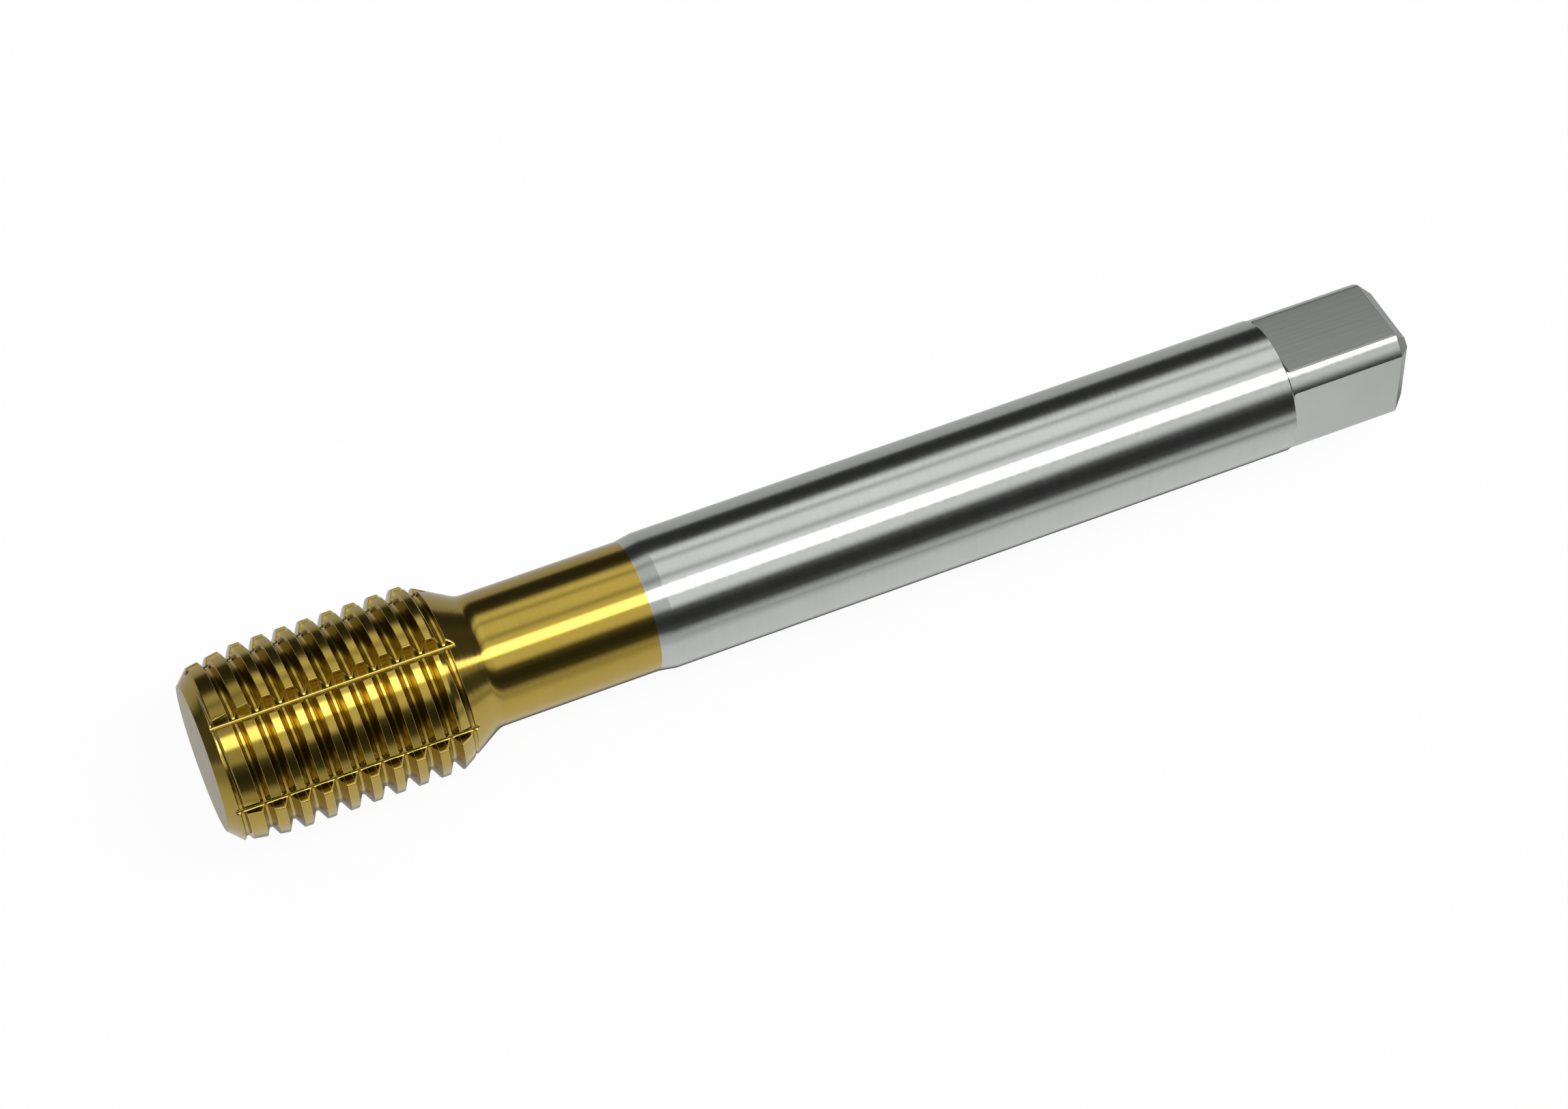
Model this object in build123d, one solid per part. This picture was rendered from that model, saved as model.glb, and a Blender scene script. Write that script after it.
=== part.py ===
from build123d import *
from math import ceil, radians, tan
import os

# Thread-forming tap, one ground bar from the tip to the square end. The axis is +X and starts at the centre of
# the flat tip face. +Z is up, so that one oil groove points straight up and the opposite one straight down, and
# the tap lies on the two lands beside the lower groove. Lengths are in millimetres and angles in degrees.

# Stations along the axis, from the tip face
overall_length = 110.0
lead_length = 5.0
thread_length = 20.0
neck_end = 38.35
shank_start = 39.9
square_length = 12.0

# Turned diameters
tip_diameter = 12.67
major_diameter = 16.18
neck_diameter = 11.5
shank_diameter = 12.0
square_corner_diameter = 11.8

# Turned slopes, each measured from the axis
nose_angle = 45.0
lead_angle = 9.0
rear_cone_angle = 30.0
neck_fillet = 2.0

# Thread, right-handed, with flat crests and flat roots
thread_pitch = 2.0
root_diameter = 14.35
flank_angle = 60.0
crest_flat = 0.71
thread_start = 0.364

# Oil grooves: one steep straight wall, one hollow wall and a round floor
groove_count = 6
groove_width = 1.44
groove_vertex_depth = 1.01
groove_vertex_shift = 0.31
groove_wall_radius = 1.78
groove_floor_radius = 0.2

# Square drive. A short cone takes the shank down to the corners, and starts a little before the flats do
square_sides = 4
across_flats = 9.6
square_turn = 21.6
square_fillet = 0.4
corner_relief_length = 0.55
corner_relief_lead = 0.13
end_chamfer = 1.2

# Centre bore in the square end
centre_bore_diameter = 2.0
centre_bore_depth = 4.4
centre_mouth_diameter = 4.2
centre_mouth_angle = 60.0
drill_point_angle = 118.0

# How far every cutter stands out of the metal that it cuts
cutter_margin = 0.4

tip_radius = tip_diameter / 2
major_radius = major_diameter / 2
root_radius = root_diameter / 2
neck_radius = neck_diameter / 2
shank_radius = shank_diameter / 2
corner_radius = square_corner_diameter / 2
square_start = overall_length - square_length
shank_end = square_start - corner_relief_lead
cone_end = thread_length + (major_radius - neck_radius) / tan(radians(rear_cone_angle))


def turned_blank():
    """The half section from the tip to the square end, revolved."""
    lead_start_radius = major_radius - lead_length * tan(radians(lead_angle))
    nose_length = (lead_start_radius - tip_radius) / (tan(radians(nose_angle)) - tan(radians(lead_angle)))
    nose_radius = tip_radius + nose_length * tan(radians(nose_angle))
    outline = Polyline(
        (0, 0),
        (tip_radius, 0),
        (nose_radius, nose_length),
        (major_radius, lead_length),
        (major_radius, thread_length),
        (neck_radius, cone_end),
        (neck_radius, neck_end),
        (shank_radius, shank_start),
        (shank_radius, shank_end),
        (corner_radius, shank_end + corner_relief_length),
        (corner_radius, overall_length),
        (0, overall_length),
        close=True,
    )
    section = make_face(outline)
    neck_corner = section.vertices().sort_by_distance((neck_radius, cone_end))[0]
    section = fillet(neck_corner, neck_fillet)
    return revolve(Plane.XZ * section, axis=Axis.Z)


def thread_cutters():
    """The thread's groove, one turn a solid, from the air before the tip to the air behind the rear cone."""
    slope = tan(radians(flank_angle / 2))
    root_flat = thread_pitch - crest_flat - 2 * (major_radius - root_radius) * slope
    outer_radius = major_radius + cutter_margin
    outer_flat = root_flat + 2 * (outer_radius - root_radius) * slope
    profile = make_face(
        Polyline(
            (root_radius, -root_flat / 2),
            (outer_radius, -outer_flat / 2),
            (outer_radius, outer_flat / 2),
            (root_radius, root_flat / 2),
            close=True,
        )
    )
    profile = Plane((0, 0, 0), x_dir=(1, 0, 0), z_dir=(0, 1, 0)) * profile
    one_turn = sweep(profile, path=Helix(thread_pitch, thread_pitch, root_radius), is_frenet=True)
    last_turn = ceil((cone_end - thread_start) / thread_pitch)
    return [Pos(0, 0, thread_start + turn * thread_pitch) * one_turn for turn in range(-1, last_turn)]


def oil_groove_cutter():
    """A straight bar of the oil groove's section, at the top of the tap."""
    half_width = groove_width / 2
    brim = (major_radius**2 - half_width**2) ** 0.5
    vertex = Vector(-groove_vertex_shift, major_radius - groove_vertex_depth)
    steep_brim = Vector(-half_width, brim)
    hollow_brim = Vector(half_width, brim)
    top = major_radius + cutter_margin
    steep_run = (steep_brim - vertex) * ((top - vertex.Y) / (steep_brim.Y - vertex.Y))
    steep_wall = Line(vertex + steep_run, vertex)
    hollow_wall = RadiusArc(vertex, hollow_brim, -groove_wall_radius)
    lip = Line(hollow_brim, (half_width, top))
    roof = Line((half_width, top), vertex + steep_run)
    section = make_face(Curve() + [steep_wall, hollow_wall, lip, roof])
    floor_corner = section.vertices().sort_by_distance(vertex)[0]
    section = fillet(floor_corner, groove_floor_radius)
    return extrude(Pos(0, 0, -cutter_margin) * section, cone_end + 2 * cutter_margin)


def flat_cutter():
    """The metal beside one flat of the square, with a round inner edge where the flat meets the shoulder."""
    near = across_flats / 2
    far = shank_radius + cutter_margin
    outline = Polyline(
        (near, square_start),
        (far, square_start),
        (far, overall_length + cutter_margin),
        (near, overall_length + cutter_margin),
        close=True,
    )
    section = make_face(outline)
    shoulder_corner = section.vertices().sort_by_distance((near, square_start))[0]
    section = fillet(shoulder_corner, square_fillet)
    return extrude(Plane.YZ * section, far, both=True)


def centre_bore():
    """The centre bore in the square end, a cone that opens from a narrow drilled hole."""
    mouth_radius = centre_mouth_diameter / 2
    bore_radius = centre_bore_diameter / 2
    mouth_depth = (mouth_radius - bore_radius) / tan(radians(centre_mouth_angle / 2))
    drill_point = bore_radius / tan(radians(drill_point_angle / 2))
    outline = Polyline(
        (0, overall_length),
        (mouth_radius, overall_length),
        (bore_radius, overall_length - mouth_depth),
        (bore_radius, overall_length - centre_bore_depth),
        (0, overall_length - centre_bore_depth - drill_point),
        close=True,
    )
    return revolve(Plane.XZ * make_face(outline), axis=Axis.Z)


def thread_tap():
    tap = turned_blank() - thread_cutters()
    groove = oil_groove_cutter()
    tap -= [Rot(0, 0, 360 * i / groove_count) * groove for i in range(groove_count)]
    flat = flat_cutter()
    tap -= [Rot(0, 0, 360 * i / square_sides - square_turn) * flat for i in range(square_sides)]
    end_face = tap.faces().sort_by(Axis.Z)[-1]
    tap = chamfer(end_face.edges(), end_chamfer)
    return tap - centre_bore()


# The model is made along Z and then laid down: its X becomes Y, its Y becomes Z and its Z becomes X.
os.makedirs("parts", exist_ok=True)
tap = Plane.YZ.location * thread_tap()
tap.label = "thread_tap"
export_step(tap, "parts/thread_tap.step")
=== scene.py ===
import bpy
import math
import numpy as np
from mathutils import Matrix, Vector


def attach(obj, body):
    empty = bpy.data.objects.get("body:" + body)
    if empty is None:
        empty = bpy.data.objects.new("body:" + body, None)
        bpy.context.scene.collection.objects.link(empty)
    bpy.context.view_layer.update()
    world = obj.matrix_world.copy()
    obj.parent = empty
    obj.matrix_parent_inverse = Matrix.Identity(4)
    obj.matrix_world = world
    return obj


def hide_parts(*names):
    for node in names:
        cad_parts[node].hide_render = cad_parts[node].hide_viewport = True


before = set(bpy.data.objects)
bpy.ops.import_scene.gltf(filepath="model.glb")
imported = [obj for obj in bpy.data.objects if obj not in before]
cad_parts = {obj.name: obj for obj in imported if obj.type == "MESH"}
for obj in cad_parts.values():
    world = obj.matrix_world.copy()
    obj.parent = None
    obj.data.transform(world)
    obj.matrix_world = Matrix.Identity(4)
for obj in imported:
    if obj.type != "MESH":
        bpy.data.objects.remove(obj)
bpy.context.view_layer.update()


mm = 0.001
print("frame loaded")


# One socket of a shader tree, so that maths on values can be written as an expression
class Wire:
    def __init__(self, tree, socket):
        self.tree = tree
        self.socket = socket

    def maths(self, operation, *values):
        return addNode(self.tree, "ShaderNodeMath", {"operation": operation}, dict(enumerate(values)))

    def __add__(self, other):
        return self.maths("ADD", self, other)

    def __radd__(self, other):
        return self.maths("ADD", other, self)

    def __sub__(self, other):
        return self.maths("SUBTRACT", self, other)

    def __rsub__(self, other):
        return self.maths("SUBTRACT", other, self)

    def __mul__(self, other):
        return self.maths("MULTIPLY", self, other)

    def __rmul__(self, other):
        return self.maths("MULTIPLY", other, self)

    def __truediv__(self, other):
        return self.maths("DIVIDE", self, other)

    def __rtruediv__(self, other):
        return self.maths("DIVIDE", other, self)

    def step(self, low, high):
        # 0 below low, 1 above high, eased between them
        settings = {"interpolation_type": "SMOOTHSTEP"}
        return addNode(self.tree, "ShaderNodeMapRange", settings, {0: self, 1: low, 2: high})

    def ramp(self, low, high, fromValue, toValue):
        # a straight line from one value at low to the other at high, level outside them
        sockets = {0: self, 1: low, 2: high, 3: fromValue, 4: toValue}
        return addNode(self.tree, "ShaderNodeMapRange", {}, sockets)

    def atLeast(self, other):
        return self.maths("MAXIMUM", self, other)

    def power(self, exponent):
        return self.maths("POWER", self, exponent)


# A node of any type: its settings are set first, then its sockets are given values or links
def addNode(tree, kind, settings=None, sockets=None, output=0):
    node = tree.nodes.new(kind)
    for name, value in (settings or {}).items():
        setattr(node, name, value)
    for key, value in (sockets or {}).items():
        if isinstance(value, Wire):
            tree.links.new(value.socket, node.inputs[key])
        else:
            node.inputs[key].default_value = value
    return Wire(tree, node.outputs[output])


def mixColours(tree, factor, first, second):
    # sockets 0, 6 and 7 are the factor and the two colours of a Mix node that is set to colour
    return addNode(tree, "ShaderNodeMix", {"data_type": "RGBA"}, {0: factor, 6: first, 7: second}, output=2)


def mixVectors(tree, factor, first, second):
    # sockets 0, 4 and 5 are the factor and the two vectors of a Mix node that is set to vector
    return addNode(tree, "ShaderNodeMix", {"data_type": "VECTOR"}, {0: factor, 4: first, 5: second}, output=1)


def objectPlace(tree):
    # the place on the object, as one vector and as its three parts
    place = addNode(tree, "ShaderNodeTexCoord", output="Object")
    parts = tree.nodes.new("ShaderNodeSeparateXYZ")
    tree.links.new(place.socket, parts.inputs[0])
    return place, *(Wire(tree, parts.outputs[name]) for name in "XYZ")


def lightPath(tree):
    # whether a ray comes from the camera, from a mirroring surface or through a clear one
    path = tree.nodes.new("ShaderNodeLightPath")
    return (Wire(tree, path.outputs[f"Is {name} Ray"]) for name in ("Camera", "Glossy", "Transmission"))


def newMaterial(name):
    material = bpy.data.materials.new(name)
    material.use_nodes = True
    material.node_tree.nodes.clear()
    return material, material.node_tree


def showSurface(tree, surface):
    ending = tree.nodes.new("ShaderNodeOutputMaterial")
    tree.links.new(surface.socket, ending.inputs["Surface"])


# Ground steel, and on the head and the neck the gold-coloured coating with its clear shine. Lengths are in
# millimetres, and a pair of places says where something begins and where it is complete
finish = {
    "coatingEnd": (38.30, 38.36), "flatsFrom": (98.3, 98.5), "flatsRadius": (5.86, 5.89),
    "tipTo": (0.001, 0.01), "endFrom": (109.97, 109.99),
    "gold": (0.375, 0.263, 0.03, 1.0), "goldDeep": (0.355, 0.245, 0.023, 1.0),
    # the two edge colours are painted highlights: lighter colours on the sharp edges, in place of their shine
    "goldEdgeHighlight": (0.6, 0.47, 0.17, 1.0), "goldFace": (0.39, 0.28, 0.05, 1.0),
    "steel": (0.455, 0.47, 0.45, 1.0), "steelDeep": (0.437, 0.455, 0.436, 1.0),
    "steelEdgeHighlight": (0.6, 0.61, 0.6, 1.0),
    "goldGrazing": (0.82, 0.79, 0.7, 1.0), "steelGrazing": (0.94, 0.94, 0.94, 1.0),
    "shine": 0.65, "shineRoughness": 0.13,
    "goldRoughness": 0.13, "steelRoughness": 0.135, "flatRoughness": 0.16, "edgeRoughness": 0.4,
    "marksRoughness": 0.025, "cloudRoughness": 0.02, "marksColour": 0.25, "cloudColour": 0.7,
    "markWidth": 0.3, "markLength": 14.0, "markDepth": 0.0012, "markSpread": (0.3, 0.7), "flatMarks": 0.3,
    "cloudSize": 3.5, "cloudSpread": (0.35, 0.65), "noiseDetail": 3.0,
}


def tapFinish(values):
    material, tree = newMaterial("coatedTapSteel")
    place, *parts = objectPlace(tree)
    along, across, up = (part * (1.0 / mm) for part in parts)
    radial = (across * across + up * up).power(0.5)
    bare = along.step(*values["coatingEnd"])
    faced = 1.0 - along.step(*values["tipTo"]) + along.step(*values["endFrom"])
    onFlats = along.step(*values["flatsFrom"]) * (1.0 - radial.step(*values["flatsRadius"]))
    edge = addNode(tree, "ShaderNodeAttribute", {"attribute_name": "edge"}, output="Fac")

    # grinding marks: noise stretched into rings round the bar, circles on the end faces and lines along the
    # flats, where they are fainter
    fine, coarse = 1.0 / values["markWidth"], 1.0 / values["markLength"]
    stretched = {1: across * coarse, 2: up * coarse}
    rings = addNode(tree, "ShaderNodeCombineXYZ", {}, {0: along * fine, **stretched})
    circles = addNode(tree, "ShaderNodeCombineXYZ", {}, {0: radial * fine, **stretched})
    lines = addNode(tree, "ShaderNodeCombineXYZ", {}, {0: along * coarse, 1: across * fine, 2: up * fine})
    markPlace = mixVectors(tree, faced, mixVectors(tree, onFlats, rings, lines), circles)
    detail = values["noiseDetail"]
    marks = addNode(tree, "ShaderNodeTexNoise", {}, {"Vector": markPlace, "Scale": 1.0, "Detail": detail})
    marks = marks.ramp(*values["markSpread"], -1.0, 1.0)
    marks = marks * (1.0 - onFlats * (1.0 - values["flatMarks"]))
    cloudScale = 1.0 / (values["cloudSize"] * mm)
    cloud = addNode(tree, "ShaderNodeTexNoise", {}, {"Vector": place, "Scale": cloudScale, "Detail": detail})
    cloud = cloud.ramp(*values["cloudSpread"], 0.0, 1.0)

    # colour drifts a little over the bar and in the marks, and the sharp edges are duller and carry a painted
    # highlight: a lighter colour that stands in for the shine on their rounding
    deep = cloud * values["cloudColour"] + marks * values["marksColour"]
    gold = mixColours(tree, deep, values["gold"], values["goldDeep"])
    steel = mixColours(tree, deep, values["steel"], values["steelDeep"])
    gold = mixColours(tree, edge, gold, values["goldEdgeHighlight"])
    gold = mixColours(tree, faced, gold, values["goldFace"])
    steel = mixColours(tree, edge, steel, values["steelEdgeHighlight"])
    plain = bare * (values["steelRoughness"] - values["goldRoughness"]) + values["goldRoughness"]
    plain = plain + onFlats * (values["flatRoughness"] - values["steelRoughness"])
    roughness = plain + marks * values["marksRoughness"] + (cloud - 0.5) * values["cloudRoughness"]
    roughness = roughness + edge * values["edgeRoughness"]
    relief = {"Strength": 1.0, "Distance": values["markDepth"] * mm, "Height": marks}
    bump = addNode(tree, "ShaderNodeBump", {}, relief)
    # the coating has a clear shine that whitens it at grazing angles, except on the tip's face
    shared = {"Metallic": 1.0, "Roughness": roughness, "Normal": bump}
    shine = (1.0 - faced) * values["shine"]
    coating = {"Base Color": gold, "Specular Tint": values["goldGrazing"], "Coat Weight": shine}
    coating["Coat Roughness"] = values["shineRoughness"]
    bareMetal = {"Base Color": steel, "Specular Tint": values["steelGrazing"]}
    coated = addNode(tree, "ShaderNodeBsdfPrincipled", {}, {**shared, **coating})
    uncoated = addNode(tree, "ShaderNodeBsdfPrincipled", {}, {**shared, **bareMetal})
    showSurface(tree, addNode(tree, "ShaderNodeMixShader", {}, {0: bare, 1: coated, 2: uncoated}))
    return material


# The whole tap as one surface. Its height over the axis is a function of the place along the tap and the
# angle round it: the lowest of the turned outline, the thread, the oil grooves and the flats, eased at the
# edges. Lengths are in millimetres and angles in degrees, from straight up towards the back. Each ease is
# the difference in height at which two surfaces start to round into each other, and the edge itself moves
# by a quarter of it
tapShape = {
    "overallLength": 110.0, "leadLength": 5.0, "threadLength": 20.0, "headEnd": 22.5,
    "neckEnd": 38.35, "shankStart": 39.9, "squareStart": 98.0, "reliefStart": 97.965, "reliefLength": 0.12,
    "tipRadius": 6.335, "majorRadius": 8.09, "rootRadius": 7.175, "neckRadius": 5.75, "shankRadius": 6.0,
    "cornerRadius": 5.9, "noseAngle": 45.0, "leadAngle": 9.0, "coneAngle": 30.0, "neckFillet": 2.0,
    "pitch": 2.0, "flankAngle": 60.0, "crestFlat": 0.71, "threadStart": 0.364, "threadStartAngle": 90.0,
    "grooves": 6, "grooveHalfWidth": 0.72, "grooveVertex": (-0.31, 6.99), "hollowRadius": 1.78,
    "floorRadius": 0.26, "wallReach": 0.6, "steepPoints": 33, "floorPoints": 33, "hollowPoints": 65,
    "flats": 4, "halfFlats": 4.8, "squareTurn": 21.6, "squareFillet": 0.4, "endChamfer": 1.2,
    "boreRadius": 1.0, "boreDepth": 4.4, "mouthRadius": 2.1, "mouthHalfAngle": 30.0, "drillHalfAngle": 59.0,
    "crestEase": 0.05, "rootEase": 0.078, "grooveEase": (0.03, 0.2), "ringEase": 0.02, "fineEase": 0.004,
    "flatEase": 0.022, "chamferEase": 0.03,
}


def slope(angle):
    # rise over run of an angle in degrees
    return math.tan(math.radians(angle))


def easedStep(share):
    # 0 to 1 as the share goes from 0 to 1, level at both ends: three times its square less twice its cube
    return share * share * (3 - 2 * share)


def easeMin(first, second, blend):
    # the lower of two heights, less the square of their overlap, which rounds the edge where they meet
    overlap = np.maximum(blend - np.abs(first - second), 0.0)
    return np.minimum(first, second) - overlap**2 / (4 * blend)


def easeMax(first, second, blend):
    # the higher of two heights, with the corner between them filled in the same way
    return -easeMin(-np.asarray(first), -np.asarray(second), blend)


def turnedRadius(shape, x):
    # straight lines of the turned outline, each the lowest or highest in its turn, and a circle at the neck
    nose = shape["tipRadius"] + x * slope(shape["noseAngle"])
    lead = shape["majorRadius"] - (shape["leadLength"] - x) * slope(shape["leadAngle"])
    cone = shape["majorRadius"] - (x - shape["threadLength"]) * slope(shape["coneAngle"])
    head = easeMin(easeMin(nose, lead, shape["ringEase"]), shape["majorRadius"], shape["fineEase"])
    head = easeMin(head, cone, shape["ringEase"])
    neck, fillet = shape["neckRadius"], shape["neckFillet"]
    tangent = fillet * slope(shape["coneAngle"] / 2)
    coneEnd = shape["threadLength"] + (shape["majorRadius"] - neck) / slope(shape["coneAngle"])
    filletEnd = coneEnd + tangent
    filletStart = coneEnd - tangent * math.cos(math.radians(shape["coneAngle"]))
    hollow = neck + fillet - np.sqrt(np.maximum(fillet**2 - np.minimum(x - filletEnd, 0.0) ** 2, 0.0))
    head = np.where(x > filletStart, hollow, head)
    run = (shape["shankRadius"] - neck) / (shape["shankStart"] - shape["neckEnd"])
    shank = easeMax(neck, neck + (x - shape["neckEnd"]) * run, shape["fineEase"])
    shank = easeMin(shank, shape["shankRadius"], shape["fineEase"])
    drop = (shape["shankRadius"] - shape["cornerRadius"]) / shape["reliefLength"]
    relief = shape["shankRadius"] - (x - shape["reliefStart"]) * drop
    shank = easeMin(shank, easeMax(relief, shape["cornerRadius"], shape["fineEase"]), shape["fineEase"])
    chamfer = shape["overallLength"] - shape["endChamfer"]
    shank = easeMin(shank, shape["cornerRadius"] - (x - chamfer), shape["chamferEase"])
    return np.where(x < filletEnd, head, shank)


def rootFlat(shape):
    # width of the thread's flat root: the pitch less the flat crest and both flanks
    rise = shape["majorRadius"] - shape["rootRadius"]
    return shape["pitch"] - shape["crestFlat"] - 2 * rise * slope(shape["flankAngle"] / 2)


def rootLine(shape, angle):
    # the thread's root moves one pitch towards the tip in each turn
    return shape["threadStart"] + shape["pitch"] * (shape["threadStartAngle"] - angle) / 360.0


def threadRadius(shape, x, angle):
    # a flat root and a straight flank on each side, by the distance along the axis from the nearest root
    pitch = shape["pitch"]
    away = np.abs((x - rootLine(shape, angle) + pitch / 2) % pitch - pitch / 2)
    flank = shape["rootRadius"] + (away - rootFlat(shape) / 2) / slope(shape["flankAngle"] / 2)
    return easeMax(shape["rootRadius"], flank, shape["rootEase"])


def grooveSection(shape):
    # the groove's section as points: a straight wall, a round floor and a hollow wall, both walls running
    # on past the brim; also the numbers of the floor's first and last point
    half, vertex = shape["grooveHalfWidth"], np.array(shape["grooveVertex"])
    brimHeight = math.sqrt(shape["majorRadius"] ** 2 - half**2)
    steepBrim, hollowBrim = np.array([-half, brimHeight]), np.array([half, brimHeight])
    chord = hollowBrim - vertex
    reach = math.hypot(*chord)
    aside = np.array([-chord[1], chord[0]]) / reach
    centre = (vertex + hollowBrim) / 2 + aside * math.sqrt(shape["hollowRadius"] ** 2 - reach**2 / 4)
    wall = (steepBrim - vertex) / math.hypot(*(steepBrim - vertex))
    inward = np.array([wall[1], -wall[0]])
    # the floor's circle touches the straight wall and the hollow wall's circle from inside
    small, large = shape["floorRadius"], shape["hollowRadius"] - shape["floorRadius"]
    start = vertex + inward * small - centre
    along = -(start @ wall) - math.sqrt((start @ wall) ** 2 - start @ start + large**2)
    other = -(start @ wall) + math.sqrt((start @ wall) ** 2 - start @ start + large**2)
    along = along if abs(along) < abs(other) else other
    floorCentre = vertex + inward * small + wall * along
    steepPoint = floorCentre - inward * small
    hollowPoint = centre + (floorCentre - centre) / large * shape["hollowRadius"]
    fromAngle = math.atan2(*(steepPoint - floorCentre)[::-1])
    toAngle = math.atan2(*(hollowPoint - floorCentre)[::-1])
    fromAngle -= 2 * math.pi * round((fromAngle - toAngle) / (2 * math.pi))
    sweep = np.linspace(fromAngle, toAngle, shape["floorPoints"])
    floor = floorCentre + small * np.stack([np.cos(sweep), np.sin(sweep)], axis=-1)
    hollowFrom = math.atan2(*(hollowPoint - centre)[::-1])
    hollowTo = math.atan2(*(hollowBrim - centre)[::-1])
    sweep = np.linspace(hollowFrom, hollowTo, shape["hollowPoints"])
    hollow = centre + shape["hollowRadius"] * np.stack([np.cos(sweep), np.sin(sweep)], axis=-1)
    leave = hollow[-1] - hollow[-2]
    leave = leave / math.hypot(*leave)
    share = np.linspace(1.0, 0.0, shape["steepPoints"])[:, None]
    steep = share * (steepBrim + wall * shape["wallReach"] - steepPoint) + steepPoint
    section = np.concatenate([steep, floor[1:], hollow[1:], hollow[-1:] + leave * shape["wallReach"]])
    return section, len(steep) - 1, len(steep) + len(floor) - 2


def grooveTables(shape):
    # the section's points as tables: angle round the axis, radius, and run along the section from its first
    # point
    section, floorFrom, floorTo = grooveSection(shape)
    angle = np.degrees(np.arctan2(section[:, 0], section[:, 1]))
    radius = np.hypot(section[:, 0], section[:, 1])
    run = np.concatenate([[0.0], np.cumsum(np.hypot(*np.diff(section, axis=0).T))])
    floor = (run[floorFrom], run[floorTo])
    return {"angle": angle, "radius": radius, "run": run, "lowest": int(np.argmin(radius)), "floor": floor}


def grooveRadius(shape, tables, angle):
    # the section's radius at this angle from the nearest groove's middle, and clear of all metal beside the
    # groove
    turn = 360.0 / shape["grooves"]
    inSector = (angle + turn / 2) % turn - turn / 2
    radius = np.interp(inSector, tables["angle"], tables["radius"])
    outside = (inSector < tables["angle"][0]) | (inSector > tables["angle"][-1])
    return np.where(outside, 2 * shape["majorRadius"], radius)


def brimEase(shape, metal, turned):
    # the grooves' edges are rounder on the crests than at the roots, and rounder on high crests than on low
    # ones: from low to high by the square of the share of this crest's height times the share of the
    # thread's height
    height = metal - shape["rootRadius"]
    ofCrest = np.clip(height / np.maximum(turned - shape["rootRadius"], shape["fineEase"]), 0.0, 1.0)
    ofThread = np.clip(height / (shape["majorRadius"] - shape["rootRadius"]), 0.0, 1.0)
    low, high = shape["grooveEase"]
    return low + (high - low) * ofCrest**2 * ofThread


def flatHeight(shape, x):
    # distance of the flats from the axis: a quarter circle at the shoulder, then flat, then the end's chamfer
    fillet, start = shape["squareFillet"], shape["squareStart"]
    rest = np.clip(start + fillet - x, 0.0, fillet)
    shoulder = shape["halfFlats"] + fillet - np.sqrt(fillet**2 - rest**2)
    chamfer = shape["halfFlats"] - (x - (shape["overallLength"] - shape["endChamfer"]))
    return easeMin(shoulder, chamfer, shape["chamferEase"])


def flatRadius(shape, x, angle):
    # the flat's distance over the cosine of the angle from its middle, and clear of all metal before the
    # square
    turn = 360.0 / shape["flats"]
    away = (angle - shape["squareTurn"] + turn / 2) % turn - turn / 2
    height = flatHeight(shape, x) / np.cos(np.radians(away))
    return np.where(x < shape["squareStart"], 2 * shape["majorRadius"], height)


def tapRadius(shape, tables, x, angle):
    # the lowest of turned outline, thread and groove on the head, and of turned outline and flats elsewhere
    radius = turnedRadius(shape, x)
    threaded = easeMin(radius, threadRadius(shape, x, angle), shape["crestEase"])
    threaded = easeMin(threaded, grooveRadius(shape, tables, angle), brimEase(shape, threaded, radius))
    radius = np.where(x < shape["headEnd"], threaded, radius)
    return easeMin(radius, flatRadius(shape, x, angle), shape["flatEase"])


# How the surface's rows and columns lie: rows follow the thread on the head and are rings elsewhere. Beside
# a groove's brim, brimStep is millimetres along its section and brimTurn degrees on the land, each for a
# millimetre of the brim's ease. Tip rows give place, radius and the two parts of the normal, along the tap
# and outwards
tapGrid = {
    "threadFrom": 0.6, "threadTo": 21.8, "turns": 13, "edgeStep": 0.03, "leastEdge": 0.195, "repeats": 24,
    "rootRows": (0.072, 0.117, 0.162), "flankRows": (1 / 3, 2 / 3), "crestRows": (0.15, 0.45, 0.72, 1.0),
    "rings": (1.1575, 20.0), "ringStep": 0.03,
    "columnsPerGroove": 30, "wallColumns": 3, "floorColumns": 4, "floorShare": 0.2, "leastDepth": 0.02,
    # the last two give the painted edge highlight's share at the grooves' brims, and how high over the root a
    # brim must be to get it
    "brimStep": 1.1, "brimTurn": 3.6, "brimHighlight": 0.2, "brimHighlightFrom": 0.3,
    "tipRows": ((0.0, 0.0, -1.0, 0.0), (0.0, 2.2, -1.0, 0.0), (0.0, 4.4, -1.0, 0.0), (0.0, 6.0, -1.0, 0.0),
                (0.0, 6.312, -1.0, 0.0), (0.006, 6.334, -0.924, 0.383)),
    "noseRows": (0.022, 0.05, 0.3),
    "neckRows": (22.6, 23.3, 23.55, 23.65, 23.8, 24.0, 24.2, 24.4, 24.55, 24.65, 27.0, 31.0, 35.0, 38.0,
                 38.325, 38.375),
    "shankRows": (39.1, 39.88, 39.92, 42.0, 50.0, 60.0, 70.0, 80.0, 90.0, 96.0, 97.93, 97.955, 97.965, 97.98),
    "shoulderTurns": (0, 8, 18, 28, 38, 48, 58, 68, 79, 90),
    "wallTop": 0.004, "wallDrop": 0.012, "wallLean": 0.35, "leastCut": 0.013, "slopeShift": 0.003,
    "flatRows": (98.44, 98.5, 101.0, 104.0, 107.0, 108.77, 108.8, 108.83, 109.4, 109.97),
    "twistFrom": 42.0, "twistTo": 95.0, "squareColumn": 41, "cornerColumns": 5, "flatEdgeTurn": 0.25,
    "endBrim": 0.03, "faceShares": (0.0, 0.45, 0.8),
    "mouthEdge": (0.02, 0.03), "boreEdge": (0.02, 0.0115), "drillEdge": (0.01, 0.017),
}


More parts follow.
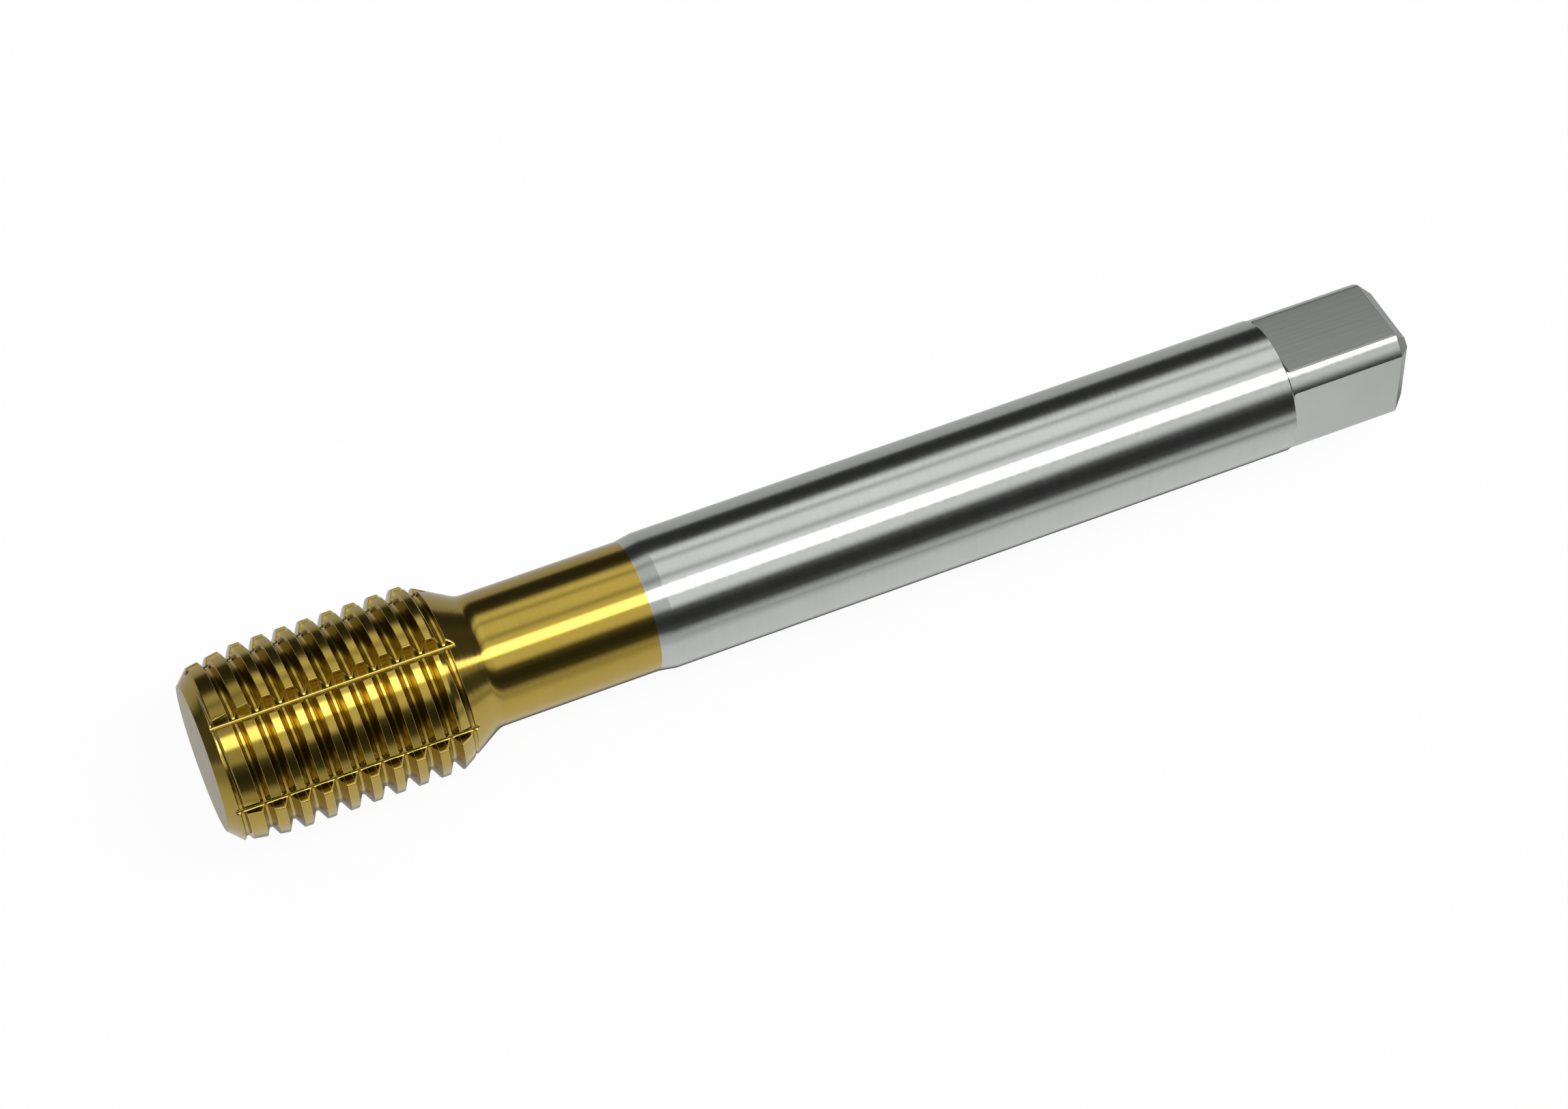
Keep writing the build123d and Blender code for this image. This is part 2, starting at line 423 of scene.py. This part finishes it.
def crestEdge(shape, grid, x):
    # how far from the root's middle the flank meets the turned outline
    rise = turnedRadius(shape, x) - shape["rootRadius"]
    edge = rootFlat(shape) / 2 + rise * slope(shape["flankAngle"] / 2)
    return np.clip(edge, grid["leastEdge"], (shape["pitch"] - shape["crestFlat"]) / 2)


def threadRows(shape, grid, angle):
    # each row lies at root + side * (fixed + share * crest edge), found by repeating it from the last guess
    step, firstFlank = grid["edgeStep"], grid["rootRows"][-1]
    fixed, share = list(grid["rootRows"]), [0.0] * len(grid["rootRows"])
    fixed += [firstFlank * (1 - part) - step * part for part in grid["flankRows"]]
    share += list(grid["flankRows"])
    fixed += [-step, 0.0, step]
    share += [1.0] * 3
    fixed += [step + part * (1 - step) for part in grid["crestRows"]]
    share += [1.0 - part for part in grid["crestRows"]]
    side = np.array([-1.0] * (len(fixed) - 1) + [0.0] + [1.0] * len(fixed))
    fixed = np.array(fixed[-2::-1] + [0.0] + fixed)
    share = np.array(share[-2::-1] + [0.0] + share)
    turns = np.repeat(np.arange(grid["turns"]), len(side)) * shape["pitch"]
    side, fixed, share = (np.tile(part, grid["turns"])[:, None] for part in (side, fixed, share))
    root = rootLine(shape, angle) + turns[:, None]
    x = root + side * (fixed + share * grid["leastEdge"])
    for _ in range(grid["repeats"]):
        x = root + side * (fixed + share * crestEdge(shape, grid, x))
    return x, len(side) // grid["turns"]


def grooveColumns(shape, grid, tables, radius, turned):
    # angles of the columns in each sector: even on the land, close together at the brims, and between them
    # at even runs along the groove's two walls and its floor
    lowest, run, turn = tables["lowest"], tables["run"], 180.0 / shape["grooves"]
    radius = np.clip(radius, tables["radius"][lowest] + grid["leastDepth"], shape["majorRadius"])
    left = np.interp(radius, tables["radius"][lowest::-1], run[lowest::-1])
    right = np.interp(radius, tables["radius"][lowest:], run[lowest:])
    least = grid["floorShare"] * (right - left)
    floorFrom = np.maximum(tables["floor"][0], left + least)
    floorTo = np.minimum(tables["floor"][1], right - least)
    ease = brimEase(shape, radius, turned)
    fromLeft, toRight = left + ease * grid["brimStep"], right - ease * grid["brimStep"]

    def between(first, last, count):
        part = np.linspace(0.0, 1.0, count + 1)
        return first[..., None] * (1 - part) + last[..., None] * part

    steepRuns = between(fromLeft, floorFrom, grid["wallColumns"])
    floorRuns = between(floorFrom, floorTo, grid["floorColumns"])
    hollowRuns = between(floorTo, toRight, grid["wallColumns"])
    runs = np.concatenate([steepRuns, floorRuns[..., 1:], hollowRuns[..., 1:]], axis=-1)
    inside = np.interp(runs, run, tables["angle"])
    leftBrim = np.interp(left, run, tables["angle"])
    rightBrim = np.interp(right, run, tables["angle"])
    grooveShare = 2 * grid["wallColumns"] + grid["floorColumns"] + 4
    landColumns = (grid["columnsPerGroove"] - grooveShare) // 2
    leftEdge, rightEdge = leftBrim - ease * grid["brimTurn"], rightBrim + ease * grid["brimTurn"]
    leftLand = between(np.full_like(leftBrim, -turn), leftEdge, landColumns)
    rightLand = between(rightEdge, np.full_like(rightBrim, turn), landColumns)[..., :-1]
    sector = np.concatenate([leftLand, leftBrim[..., None], inside, rightBrim[..., None], rightLand], axis=-1)
    angle = sector + (2 * turn * (np.arange(shape["grooves"]) + 1))[:, None]
    angle = angle.reshape(len(angle), -1)
    return np.concatenate([angle, angle[:, :1] + 360.0], axis=1)


def squareColumns(shape, grid, x):
    # even columns on the flats and on the corners, with three close together at each edge between them
    count, turn = grid["columnsPerGroove"] * shape["grooves"], 360.0 / shape["flats"]
    perFlat = count // shape["flats"]
    column = np.arange(count + 1) - grid["squareColumn"] + perFlat / 2
    flat = np.floor(column / perFlat)
    slot = column - flat * perFlat - perFlat / 2
    place = np.maximum(x, shape["squareStart"])
    edge = np.degrees(np.arccos(flatHeight(shape, place) / turnedRadius(shape, place)))[:, None]
    step, away, last = grid["flatEdgeTurn"], np.abs(slot), perFlat // 2 - grid["cornerColumns"]
    onFlat = away / (last - 1) * (edge - step)
    onCorner = edge + step + (away - last - 1) / (perFlat / 2 - last - 1) * (turn / 2 - edge - step)
    turned = np.where(away < last - 0.5, onFlat, np.where(away < last + 0.5, edge, onCorner))
    return shape["squareTurn"] + turn * (flat + 1) + np.sign(slot) * turned


def edgeHighlightMask(shape, grid, tables, x, angle):
    # where the painted edge highlight and the duller edges go: 1 on the sharp edges of the crests and the
    # flats and less at the grooves, falling to 0 over the rounding
    turned, thread = turnedRadius(shape, x), threadRadius(shape, x, angle)
    metal, groove = np.minimum(turned, thread), grooveRadius(shape, tables, angle)
    crest = np.clip(1.0 - np.abs(turned - thread) / shape["crestEase"], 0.0, 1.0)
    brim = np.clip(1.0 - np.abs(metal - groove) / brimEase(shape, metal, turned), 0.0, 1.0)
    brim = np.where(metal > shape["rootRadius"] + grid["brimHighlightFrom"], brim, 0.0) * grid["brimHighlight"]
    onHead = np.where(x < shape["headEnd"], np.maximum(crest, brim), 0.0)
    flat = np.clip(1.0 - np.abs(turned - flatRadius(shape, x, angle)) / shape["flatEase"], 0.0, 1.0)
    return np.where(x > shape["squareStart"], flat, onHead)


def surfaceNormals(shape, tables, x, angle, radius):
    # the height's slope along the tap and round it, from small steps to both sides
    stepAlong, stepRound = 2e-4, 2e-3
    along = tapRadius(shape, tables, x + stepAlong, angle) - tapRadius(shape, tables, x - stepAlong, angle)
    around = tapRadius(shape, tables, x, angle + stepRound) - tapRadius(shape, tables, x, angle - stepRound)
    along, around = along / (2 * stepAlong), around / (2 * math.radians(stepRound)) / radius
    return turnedVectors(angle, -along, np.ones_like(along), -around)


def turnedVectors(angle, along, outward, around):
    # unit vectors from parts along the tap, away from its axis and round it
    sine, cosine = np.sin(np.radians(angle)), np.cos(np.radians(angle))
    vectors = np.stack([along, outward * sine + around * cosine, outward * cosine - around * sine], axis=-1)
    return vectors / np.linalg.norm(vectors, axis=-1, keepdims=True)


def headPlaces(shape, grid, tables):
    # rows of the head: their places at the grooves give the columns, and the columns give the rows' places.
    # Near each ring, a row is at the ring plus its number of rows away times the ring step
    grooveAngles = 360.0 / shape["grooves"] * (np.arange(shape["grooves"]) + 1.0)[None, :]
    atGroove, rowsPerTurn = threadRows(shape, grid, grooveAngles)
    atGroove = np.clip(atGroove, grid["threadFrom"], grid["threadTo"])
    turned = turnedRadius(shape, atGroove)
    height = np.minimum(turned, threadRadius(shape, atGroove, grooveAngles))
    angle = grooveColumns(shape, grid, tables, height, turned)
    x = threadRows(shape, grid, angle)[0]
    row = np.arange(len(x))[:, None]
    for ring in grid["rings"]:
        away = row - np.argmin(np.abs(x - ring), axis=0)[None, :]
        kept = ring + away * grid["ringStep"]
        x = np.where(away < 0, np.minimum(x, kept), np.maximum(x, kept))
        x = np.where(np.abs(away) < 2, kept, x)
    return x, angle, rowsPerTurn


def tailPlaces(shape, grid, plainAngle):
    # rings behind the head, with the columns turned from the grooves' to the flats' along the shank; also the
    # number of the ring at the top of the shoulder's wall
    shoulder = shape["squareStart"] + shape["squareFillet"] * (1 - np.cos(np.radians(grid["shoulderTurns"])))
    wallTop = shape["squareStart"] - grid["wallTop"]
    rings = [[grid["threadTo"]], grid["neckRows"], grid["shankRows"], [wallTop], shoulder, grid["flatRows"]]
    x = np.concatenate(rings)
    twist = np.clip((x - grid["twistFrom"]) / (grid["twistTo"] - grid["twistFrom"]), 0.0, 1.0)[:, None]
    twist = easedStep(twist)
    angle = plainAngle * (1 - twist) + squareColumns(shape, grid, x) * twist
    return x, angle, int(np.argmax(x == wallTop))


def boreRows(shape, grid):
    # rows of the mouth and the centre bore: place, radius and the two parts of the normal, as in the tip rows
    mouth, bore, end = shape["mouthRadius"], shape["boreRadius"], shape["overallLength"]
    cone, drill = math.radians(shape["mouthHalfAngle"]), math.radians(shape["drillHalfAngle"])
    (rim, lip), (side, rise), (point, fall) = grid["mouthEdge"], grid["boreEdge"], grid["drillEdge"]
    coneEnd = end - (mouth - bore) / math.tan(cone)
    boreEnd = end - shape["boreDepth"]
    return np.array([
        (end, mouth + rim, 1.0, 0.0),
        (end - lip, mouth - lip * math.tan(cone), math.sin(cone), -math.cos(cone)),
        (coneEnd + side, bore + rise, math.sin(cone), -math.cos(cone)),
        (coneEnd - side, bore, 0.0, -1.0),
        (boreEnd + side, bore, 0.0, -1.0),
        (boreEnd - point, bore - fall, math.sin(drill), -math.cos(drill)),
        (boreEnd - bore / math.tan(drill), 0.0, 1.0, 0.0),
    ])


def turnedRows(rows, angle):
    # rings at these angles, one for each row of place, radius and the two parts of the normal
    x, radius, along, outward = (np.repeat(rows[:, i : i + 1], len(angle), 1) for i in range(4))
    angle = np.repeat(angle[None, :], len(rows), 0)
    return x, angle, radius, turnedVectors(angle, along, outward, np.zeros_like(angle))


def sharedNumbers(rows, columns, headFrom, before, behind, rowsPerTurn, wall, cut):
    # one number for each vertex: clamped rows share their ring, the seam joins a row to the one a turn before
    number = np.arange(rows * columns).reshape(rows, columns)
    headTo = headFrom + len(before)
    head = number[headFrom:headTo]
    head = np.where(before, number[headFrom - 1], np.where(behind, number[headTo], head))
    number[headFrom:headTo] = head
    number[wall] = np.where(cut, number[wall], number[wall + 1])
    number[:headFrom, -1] = number[:headFrom, 0]
    number[headTo:, -1] = number[headTo:, 0]
    number[headFrom + rowsPerTurn : headTo, -1] = number[headFrom : headTo - rowsPerTurn, 0]
    number[headFrom : headFrom + rowsPerTurn, -1] = number[headFrom - 1, 0]
    number[0, :], number[-1, :] = number[0, 0], number[-1, 0]
    return number


def gridTriangles(number):
    # two triangles for each cell of the grid, without those that share a corner's number
    a, b, c, d = number[:-1, :-1], number[1:, :-1], number[1:, 1:], number[:-1, 1:]
    halves = (np.stack([a, b, c], axis=-1), np.stack([a, c, d], axis=-1))
    triangles = np.concatenate([half.reshape(-1, 3) for half in halves])
    p, q, r = triangles.T
    return triangles[(p != q) & (q != r) & (r != p)]


def tapSurface(shape, grid):
    # a grid of places and angles, its height over the axis, and the points that these give, with turned
    # rows at both ends
    tables = grooveTables(shape)
    headX, headAngle, rowsPerTurn = headPlaces(shape, grid, tables)
    first, last = grid["threadFrom"], grid["threadTo"]
    before, behind = headX <= first, headX >= last
    noMetal = np.zeros((1, shape["grooves"]))
    plainAngle = grooveColumns(shape, grid, tables, noMetal, noMetal)
    noseX = np.array(grid["noseRows"] + (first,))
    noseAngle = np.repeat(plainAngle, len(noseX), axis=0)
    tailX, tailAngle, tailWall = tailPlaces(shape, grid, plainAngle)
    wallRow = len(noseX) + len(headX) + tailWall

    angle = np.concatenate([noseAngle, headAngle, tailAngle])
    columns = angle.shape[1]
    noseRings, tailRings = (np.repeat(part[:, None], columns, 1) for part in (noseX, tailX))
    x = np.concatenate([noseRings, np.clip(headX, first, last), tailRings])
    # columns of a clamped row are those of the ring that it is clamped to
    clamped = np.zeros_like(x, bool)
    clamped[len(noseX) : len(noseX) + len(headX)] = before | behind
    angle = np.where(clamped, plainAngle, angle)
    radius = tapRadius(shape, tables, x, angle)
    slopeX = x.copy()
    slopeX[wallRow + 1] += grid["slopeShift"]
    normals = surfaceNormals(shape, tables, slopeX, angle, radius)
    edge = edgeHighlightMask(shape, grid, tables, slopeX, angle)
    # the shoulder's wall: its top is a little lower than the shank, and flat metal faces the square's end
    cut = radius[wallRow + 1] < radius[wallRow] - grid["leastCut"]
    radius[wallRow] = np.where(cut, radius[wallRow] - grid["wallDrop"], radius[wallRow])
    lean = np.full(columns, grid["wallLean"])
    wallNormal = turnedVectors(angle[wallRow], np.ones(columns), lean, np.zeros(columns))
    normals[wallRow] = np.where(cut[:, None], wallNormal, normals[wallRow])

    tip, bore = np.array(grid["tipRows"]), boreRows(shape, grid)
    share = np.array(grid["faceShares"])[:, None]
    face = np.array([(shape["overallLength"], 0.0, 1.0, 0.0)] * len(share))
    faceRadius = (radius[-1] - grid["endBrim"]) * (1 - share) + bore[0, 1] * share
    tipPart, facePart = turnedRows(tip, angle[0]), turnedRows(face, angle[-1])
    borePart = turnedRows(bore, angle[-1])
    x = np.concatenate([tipPart[0], x, facePart[0], borePart[0]])
    angle = np.concatenate([tipPart[1], angle, facePart[1], borePart[1]])
    radius = np.concatenate([tipPart[2], radius, faceRadius, borePart[2]])
    normals = np.concatenate([tipPart[3], normals, facePart[3], borePart[3]])
    edge = np.concatenate([np.zeros((len(tip), columns)), edge, np.zeros((len(face) + len(bore), columns))])

    headFrom, wall = len(tip) + len(noseX), len(tip) + wallRow
    number = sharedNumbers(len(x), columns, headFrom, before, behind, rowsPerTurn, wall, cut)
    used, triangles = np.unique(gridTriangles(number), return_inverse=True)
    turned = np.radians(angle)
    points = np.stack([x, radius * np.sin(turned), radius * np.cos(turned)], axis=-1).reshape(-1, 3)[used]
    return points, triangles.reshape(-1, 3), normals.reshape(-1, 3)[used], edge.ravel()[used]


def buildTap(shape, grid, values):
    points, triangles, normals, edge = tapSurface(shape, grid)
    mesh = bpy.data.meshes.new("coatedTap")
    mesh.from_pydata((points * mm).tolist(), [], triangles.tolist())
    mesh.polygons.foreach_set("use_smooth", np.ones(len(triangles), bool))
    mesh.normals_split_custom_set_from_vertices(normals.tolist())
    mesh.attributes.new("edge", "FLOAT", "POINT").data.foreach_set("value", edge.astype(np.float32))
    mesh.materials.append(tapFinish(values))
    tap = bpy.data.objects.new("coatedTap", mesh)
    bpy.context.scene.collection.objects.link(tap)
    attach(tap, "root")
    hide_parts("thread_tap")
    print("tap built:", len(points), "points,", len(triangles), "triangles")


buildTap(tapShape, tapGrid, finish)


# Floor: a pale painted surface that keeps the shadow. The camera sees it white, and the metal sees it as a
# painted pool of light that is strongest in front of the tap and fades away from it, with a painted contact
# shadow where the tap stands and painted shade before the tip. Lengths are in millimetres: places along the
# tap are from its tip, and places across it are from its axis, towards the back
floorValues = {
    "height": -8.058, "halfWidth": 3000.0, "paint": 0.92, "whiteToCamera": 0.95, "whiteToMetal": 0.92,
    "behind": 0.6, "behindFrom": -9.0, "behindTo": -3.0,
    # the contact values are a painted shadow: a dark line on the floor where the tap stands, seen in the
    # metal
    "contactShadow": 0.85, "contactShadowMiddle": -5.3, "contactShadowWidth": 1.9, "contactShadowFrom": -1.0, "contactShadowTo": 3.0,
    "headShift": -2.0, "headShare": 0.75, "headFrom": 20.0, "headTo": 26.0,
    "tipShade": 0.12, "tipShadeFrom": -3.0, "tipShadeTo": 3.0, "tipShadeFront": 5.0, "tipShadeBack": 12.0,
    "backFade": 0.97, "backFadeFrom": 30.0, "backFadeTo": 140.0,
    "frontFade": 0.3, "frontFadeFrom": 25.0, "frontFadeTo": 110.0,
    "tipFade": 0.5, "tipFadeFrom": 0.0, "tipFadeTo": 120.0,
    "squareFade": 0.4, "squareFadeFrom": 95.0, "squareFadeTo": 150.0,
}


def poolOfLight(tree, values):
    # one value over the floor, a painted pool of light: a step down behind the tap, a painted contact shadow
    # where it stands that is moved and lighter under the head, a painted shade before the tip, and a fade on
    # every side
    along, across = objectPlace(tree)[1:3]
    level = 1.0 - across.step(values["behindFrom"] * mm, values["behindTo"] * mm) * (1.0 - values["behind"])
    back = across.step(values["backFadeFrom"] * mm, values["backFadeTo"] * mm) * values["backFade"]
    toFront, toTip = across * -1.0, along * -1.0
    front = toFront.step(values["frontFadeFrom"] * mm, values["frontFadeTo"] * mm) * values["frontFade"]
    tip = toTip.step(values["tipFadeFrom"] * mm, values["tipFadeTo"] * mm) * values["tipFade"]
    square = along.step(values["squareFadeFrom"] * mm, values["squareFadeTo"] * mm) * values["squareFade"]
    underHead = 1.0 - along.step(values["headFrom"] * mm, values["headTo"] * mm)
    middle = underHead * values["headShift"] + values["contactShadowMiddle"]
    away = (across * (1.0 / mm) - middle) * (1.0 / values["contactShadowWidth"])
    # painted contact shadow along the line where the tap stands
    contactShadow = (1.0 - underHead * (1.0 - values["headShare"])) / (1.0 + away * away * away * away)
    contactShadow = contactShadow * along.step(values["contactShadowFrom"] * mm, values["contactShadowTo"] * mm) * values["contactShadow"]
    shade = (1.0 - along.step(values["tipShadeFrom"] * mm, values["tipShadeTo"] * mm)) * values["tipShade"]
    shade = shade * (1.0 - across.step(values["tipShadeFront"] * mm, values["tipShadeBack"] * mm))
    faded = level * (1.0 - back) * (1.0 - front) * (1.0 - tip) * (1.0 - square)
    return faded * (1.0 - contactShadow) * (1.0 - shade)


def paleFloor(values):
    half, height = values["halfWidth"] * mm, values["height"] * mm
    corners = [(-half, -half), (half, -half), (half, half), (-half, half)]
    mesh = bpy.data.meshes.new("floor")
    mesh.from_pydata([(x, y, height) for x, y in corners], [], [(0, 1, 2, 3)])
    floor = bpy.data.objects.new("floor", mesh)
    bpy.context.scene.collection.objects.link(floor)
    material, tree = newMaterial("paleFloor")
    toCamera, toGlossy, toClear = lightPath(tree)
    toMetal = toGlossy.atLeast(toClear)
    pool = addNode(tree, "ShaderNodeCombineColor", {}, dict.fromkeys(range(3), poolOfLight(tree, values)))
    shown = mixColours(tree, toCamera, pool, (1.0, 1.0, 1.0, 1.0))
    paint = addNode(tree, "ShaderNodeBsdfDiffuse", {}, {"Color": (values["paint"],) * 3 + (1.0,)})
    glow = addNode(tree, "ShaderNodeEmission", {}, {"Color": shown, "Strength": 1.0})
    factor = toCamera * values["whiteToCamera"] + toMetal * values["whiteToMetal"]
    showSurface(tree, addNode(tree, "ShaderNodeMixShader", {}, {0: factor, 1: paint, 2: glow}))
    mesh.materials.append(material)


paleFloor(floorValues)

studioValues = {"worldLevel": 0.8, "glossyBounces": 10}


def plainWorld(level):
    # white where it is seen, mirrored or looked through, and an even light of the given level otherwise
    world = bpy.data.worlds.new("studio")
    bpy.context.scene.world = world
    world.use_nodes = True
    tree = world.node_tree
    tree.nodes.clear()
    toCamera, toGlossy, toClear = lightPath(tree)
    seen = toCamera.atLeast(toGlossy).atLeast(toClear)
    white = {"Color": (1.0, 1.0, 1.0, 1.0), "Strength": seen * (1.0 - level) + level}
    background = addNode(tree, "ShaderNodeBackground", {}, white)
    ending = tree.nodes.new("ShaderNodeOutputWorld")
    tree.links.new(background.socket, ending.inputs["Surface"])


plainWorld(studioValues["worldLevel"])


# A light tent over the tap: a half tube along X, closed at both ends, of dark cloth with bright panels in
# it. A panel has three pairs of degrees round X, from straight up towards the back: where it starts, where
# it ends and how soft its edges are, each at the two edge places along the tent. Then come its light and
# the table that says how the light changes along the tent (place over radius, share of light). A tail is
# the faint glow beside a bright panel, and a seam is a darker stripe in the back panel (angle, width,
# depth)
tentValues = {
    "radius": 1200.0,
    "ends": (-2.5, 5.0),
    "columns": 181,
    "rows": 46,
    "dark": ((-2.5, 0.13), (-1.2, 0.09), (-0.5, 0.05), (1.0, 0.045), (2.0, 0.09), (5.0, 0.09)),
    "edgePlaces": (0.25, 0.5),
    "panels": {
        "frontSheet": ((-110.0, -110.0), (-77.6, -77.6), (16.0, 16.0), 0.68, ((0.2, 0.95), (0.35, 1.03))),
        "frontPanel": (
            (-39.2, -37.6), (-18.0, -18.0), (12.0, 21.0), 1.16,
            ((-1.0, 0.0), (-0.1, 0.65), (0.12, 0.95), (0.2, 1.05), (0.3, 1.0), (0.5, 0.9), (1.0, 0.85),
             (4.0, 0.0)),
        ),
        "sheetTail": ((-110.0, -110.0), (-63.5, -63.5), (14.0, 14.0), 0.085, ((0.0, 1.0), (1.0, 1.0))),
        "frontTail": ((-51.0, -51.0), (-30.0, -30.0), (10.0, 10.0), 0.1, ((0.0, 1.0), (1.0, 1.0))),
        "backTail": ((40.0, 40.0), (73.2, 73.2), (14.0, 14.0), 0.09, ((0.0, 1.0), (1.0, 1.0))),
        "strip": (
            (-17.8, -17.8), (-1.2, -1.2), (4.8, 4.8), 5.0,
            ((-1.0, 0.0), (-0.3, 0.7), (0.1, 1.0), (1.0, 1.0), (2.7, 0.8), (4.5, 0.3)),
        ),
        "backPanel": (
            (-2.5, -2.5), (60.8, 58.0), (15.0, 22.0), 1.28,
            ((-1.0, 0.0), (-0.1, 0.58), (0.2, 0.96), (0.35, 1.02), (0.5, 0.99), (0.8, 0.8), (1.7, 0.0)),
        ),
    },
    "seams": ((13.0, 5.0, 0.45), (43.0, 4.5, 0.43)),
}


def lightTent(values, floorHeight):
    # a grid over the angle round X and the place along X, on a half circle that closes at its ends; the
    # light at a point is the brightest of the dark cloth and each panel's light times its step up, step
    # down and table
    radius = values["radius"]
    angles = np.linspace(-90.0, 90.0, values["columns"])
    places = np.linspace(*values["ends"], values["rows"])
    places = np.concatenate([places[:1], places, places[-1:]])
    reach = np.concatenate([[0.0], np.ones(len(places) - 2), [0.0]])
    angle, place = np.meshgrid(angles, places, indexing="ij")
    glow = np.interp(place, *np.array(values["dark"]).T)
    panelLight = {}
    for name, (*edges, light, table) in values["panels"].items():
        first, last, soft = (np.interp(place, values["edgePlaces"], pair) for pair in edges)
        up = easedStep(np.clip((angle - first) / soft + 0.5, 0.0, 1.0))
        down = easedStep(np.clip((last - angle) / soft + 0.5, 0.0, 1.0))
        panelLight[name] = light * up * down * np.interp(place, *np.array(table).T)
    for middle, width, depth in values["seams"]:
        stripe = np.exp(-(((angle - middle) / width) ** 2))
        panelLight["backPanel"] = panelLight["backPanel"] * (1 - depth * stripe)
    for light in panelLight.values():
        glow = np.maximum(glow, light)
    turn = np.radians(angle)
    across, up = radius * reach * np.sin(turn), floorHeight + radius * reach * np.cos(turn)
    points = np.stack([radius * place, across, up], axis=-1) * mm
    rows, columns = angle.shape
    index = np.arange(rows * columns).reshape(rows, columns)
    faces = np.stack([index[:-1, :-1], index[:-1, 1:], index[1:, 1:], index[1:, :-1]], axis=-1).reshape(-1, 4)
    mesh = bpy.data.meshes.new("lightTent")
    mesh.from_pydata(points.reshape(-1, 3).tolist(), [], faces.tolist())
    mesh.attributes.new("glow", "FLOAT", "POINT").data.foreach_set("value", glow.ravel().astype(np.float32))
    tent = bpy.data.objects.new("lightTent", mesh)
    bpy.context.scene.collection.objects.link(tent)
    material, tree = newMaterial("tentCloth")
    light = addNode(tree, "ShaderNodeAttribute", {"attribute_name": "glow"}, output="Color")
    showSurface(tree, addNode(tree, "ShaderNodeEmission", {}, {"Color": light, "Strength": 1.0}))
    material.cycles.emission_sampling = "NONE"
    mesh.materials.append(material)
    tent.visible_camera = False


lightTent(tentValues, floorValues["height"])
print("floor, world and light tent made")


# Camera at the photograph's angle
cameraValues = {
    "place": (-25.464 * mm, -93.052 * mm, 300.598 * mm),
    "right": (0.91621, -0.38313, 0.11735),
    "up": (0.32170, 0.87794, 0.35461),
    "backward": (-0.23889, -0.28715, 0.92763),
    "lens": 87.49,
    "sensor": 36.0,
    "clip": (0.01, 20.0),
}


def photoCamera(values):
    data = bpy.data.cameras.new("photoCamera")
    data.sensor_fit = "HORIZONTAL"
    data.sensor_width = values["sensor"]
    data.lens = values["lens"]
    data.clip_start, data.clip_end = values["clip"]
    camera = bpy.data.objects.new("photoCamera", data)
    bpy.context.scene.collection.objects.link(camera)
    turn = Matrix((values["right"], values["up"], values["backward"])).transposed().to_4x4()
    camera.matrix_world = Matrix.Translation(Vector(values["place"])) @ turn
    bpy.context.scene.camera = camera


photoCamera(cameraValues)
bpy.context.scene.view_settings.view_transform = "Standard"
bpy.context.scene.cycles.glossy_bounces = studioValues["glossyBounces"]
print("camera placed")
